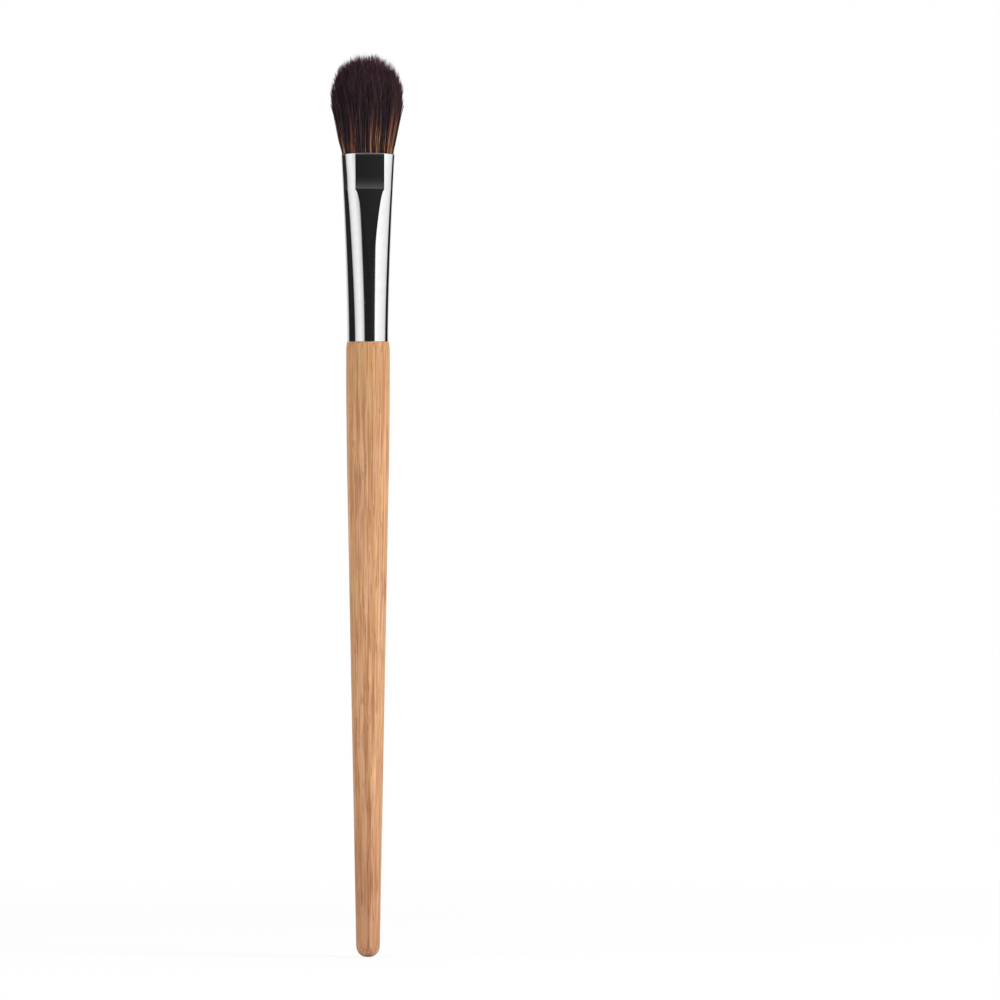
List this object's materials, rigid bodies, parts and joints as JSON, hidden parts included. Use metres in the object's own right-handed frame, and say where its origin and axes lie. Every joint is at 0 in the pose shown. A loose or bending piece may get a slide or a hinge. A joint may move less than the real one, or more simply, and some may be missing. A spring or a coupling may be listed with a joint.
{
  "type": "contour brush",
  "caption": "Slim makeup brush with a tapered bamboo handle, a polished metal ferrule pressed flat at its mouth and a dense oval dome of dark soft fibres that bends and springs back.",
  "frame": {"origin": "centre of the handle's end", "axes": "+Z along the brush from the handle's end to the tuft, -Y out of the front pressed panel, X across the flat of the tuft"},
  "size_m": [0.0142, 0.0086, 0.1751],
  "materials": {
    "bamboo": "satin",
    "ferrule_metal": "polished",
    "fibre": "matte",
    "thread": "matte",
    "resin": "gloss",
    "glue": "gloss"
  },
  "bodies": {
    "brush": {"handle": "bamboo", "handle_glue": "glue", "ferrule": "ferrule_metal", "resin_plug": "resin", "binding_thread": "thread", "tuft_root": "fibre"},
    "tuft": {"tuft_head": "fibre"}
  },
  "joints": [
    {"name": "tuft_flex", "type": "hinge", "parent": "brush", "child": "tuft", "pos_m": [0, 0, 0.15875], "axis": [1, 0, 0], "range_deg": [-35, 35], "stiffness_Nm_per_rad": 0.007}
  ]
}
